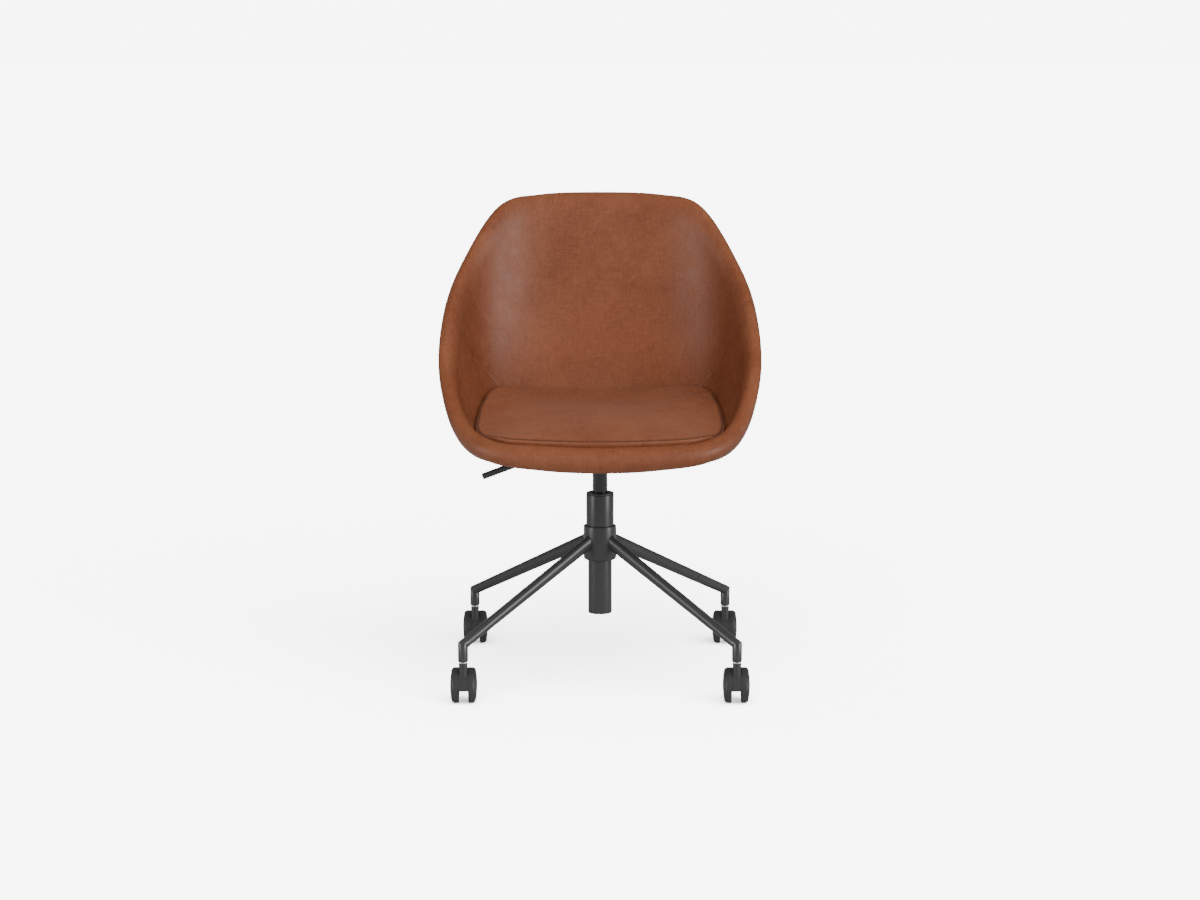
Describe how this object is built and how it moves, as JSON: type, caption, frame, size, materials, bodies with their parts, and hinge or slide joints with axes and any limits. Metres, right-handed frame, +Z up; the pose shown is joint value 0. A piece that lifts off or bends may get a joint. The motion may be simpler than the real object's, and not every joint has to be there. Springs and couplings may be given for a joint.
{
  "type": "swivel tub chair",
  "caption": "Swivel tub chair: leather bucket shell with loose seat cushion, gas lift with lever, four-legged steel base on twin-wheel casters",
  "frame": {"origin": "on the floor, on the axis of the gas lift column, midway between the casters", "axes": "+Z up, the sitter faces -Y, +X is at the sitter's left hand"},
  "size_m": [0.597, 0.5907, 0.8937],
  "materials": {
    "leather": "waxed saddle brown, mottled, with fine creases",
    "powder_coat": "satin black powder coat on steel",
    "cylinder_black": "glossy black",
    "nylon_black": "matte black moulded nylon",
    "bright_steel": "bright zinc plated",
    "rubber_black": "matte black rubber",
    "moulded_shell": "moulded shell, hidden inside the upholstery"
  },
  "bodies": {
    "base": {"base_hub": "powder_coat", "leg_1": "powder_coat", "leg_2": "powder_coat", "leg_3": "powder_coat", "leg_4": "powder_coat", "foot_1": "powder_coat", "foot_2": "powder_coat", "foot_3": "powder_coat", "foot_4": "powder_coat", "caster_stem_1": "bright_steel", "caster_stem_2": "bright_steel", "caster_stem_3": "bright_steel", "caster_stem_4": "bright_steel", "stand_tube": "powder_coat", "guide_bushing": "nylon_black"},
    "rod": {"piston_rod": "bright_steel", "thrust_bearing": "bright_steel", "retaining_clip": "bright_steel", "lift_buffer": "rubber_black", "piston": "bright_steel"},
    "seat": {"gas_cylinder": "cylinder_black", "seat_plate": "powder_coat", "taper_socket": "powder_coat", "lever_bracket": "powder_coat", "lever_pivot": "bright_steel", "seat_bolt_1": "bright_steel", "seat_bolt_2": "bright_steel", "seat_bolt_3": "bright_steel", "seat_bolt_4": "bright_steel", "flanged_nut_1": "bright_steel", "flanged_nut_2": "bright_steel", "flanged_nut_3": "bright_steel", "flanged_nut_4": "bright_steel", "shell_core": "moulded_shell", "seat_cover": "leather", "outer_cover": "leather", "seat_cushion": "leather"},
    "lever": {"lift_lever": "powder_coat"},
    "pin": {"release_pin": "bright_steel"},
    "caster_1": {"caster_body_1": "nylon_black", "caster_axle_1": "bright_steel"},
    "caster_2": {"caster_body_2": "nylon_black", "caster_axle_2": "bright_steel"},
    "caster_3": {"caster_body_3": "nylon_black", "caster_axle_3": "bright_steel"},
    "caster_4": {"caster_body_4": "nylon_black", "caster_axle_4": "bright_steel"},
    "roller_1_left": {"wheel_1_left": "nylon_black"},
    "roller_1_right": {"wheel_1_right": "nylon_black"},
    "roller_2_left": {"wheel_2_left": "nylon_black"},
    "roller_2_right": {"wheel_2_right": "nylon_black"},
    "roller_3_left": {"wheel_3_left": "nylon_black"},
    "roller_3_right": {"wheel_3_right": "nylon_black"},
    "roller_4_left": {"wheel_4_left": "nylon_black"},
    "roller_4_right": {"wheel_4_right": "nylon_black"}
  },
  "joints": [
    {"name": "seat_swivel", "type": "hinge", "parent": "base", "child": "rod", "pos_m": [0, 0, 0.3], "axis": [0, 0, 1], "continuous": true},
    {"name": "seat_lift", "type": "slide", "parent": "rod", "child": "seat", "axis": [0, 0, 1], "range_m": [0, 0.1]},
    {"name": "lever_pull", "type": "hinge", "parent": "seat", "child": "lever", "pos_m": [-0.055, 0, 0.4258], "axis": [0, 1, 0], "range_deg": [0, 3.5]},
    {"name": "pin_press", "type": "slide", "parent": "seat", "child": "pin", "axis": [0, 0, -1], "range_m": [0, 0.0037]},
    {"name": "caster_swivel_1", "type": "hinge", "parent": "base", "child": "caster_1", "pos_m": [0.24749, 0.24749, 0.05], "axis": [0, 0, 1], "continuous": true},
    {"name": "caster_swivel_2", "type": "hinge", "parent": "base", "child": "caster_2", "pos_m": [-0.24749, 0.24749, 0.05], "axis": [0, 0, 1], "continuous": true},
    {"name": "caster_swivel_3", "type": "hinge", "parent": "base", "child": "caster_3", "pos_m": [-0.24749, -0.24749, 0.05], "axis": [0, 0, 1], "continuous": true},
    {"name": "caster_swivel_4", "type": "hinge", "parent": "base", "child": "caster_4", "pos_m": [0.24749, -0.24749, 0.05], "axis": [0, 0, 1], "continuous": true},
    {"name": "wheel_roll_1_left", "type": "hinge", "parent": "caster_1", "child": "roller_1_left", "pos_m": [0.24749, 0.26549, 0.0323], "axis": [1, 0, 0], "continuous": true},
    {"name": "wheel_roll_1_right", "type": "hinge", "parent": "caster_1", "child": "roller_1_right", "pos_m": [0.24749, 0.26549, 0.0323], "axis": [1, 0, 0], "continuous": true},
    {"name": "wheel_roll_2_left", "type": "hinge", "parent": "caster_2", "child": "roller_2_left", "pos_m": [-0.24749, 0.26549, 0.0323], "axis": [1, 0, 0], "continuous": true},
    {"name": "wheel_roll_2_right", "type": "hinge", "parent": "caster_2", "child": "roller_2_right", "pos_m": [-0.24749, 0.26549, 0.0323], "axis": [1, 0, 0], "continuous": true},
    {"name": "wheel_roll_3_left", "type": "hinge", "parent": "caster_3", "child": "roller_3_left", "pos_m": [-0.24749, -0.22949, 0.0323], "axis": [1, 0, 0], "continuous": true},
    {"name": "wheel_roll_3_right", "type": "hinge", "parent": "caster_3", "child": "roller_3_right", "pos_m": [-0.24749, -0.22949, 0.0323], "axis": [1, 0, 0], "continuous": true},
    {"name": "wheel_roll_4_left", "type": "hinge", "parent": "caster_4", "child": "roller_4_left", "pos_m": [0.24749, -0.22949, 0.0323], "axis": [1, 0, 0], "continuous": true},
    {"name": "wheel_roll_4_right", "type": "hinge", "parent": "caster_4", "child": "roller_4_right", "pos_m": [0.24749, -0.22949, 0.0323], "axis": [1, 0, 0], "continuous": true}
  ],
  "couplings": [
    {"joint": "pin_press", "follows": "lever_pull", "m_per_rad": 0.0595}
  ]
}
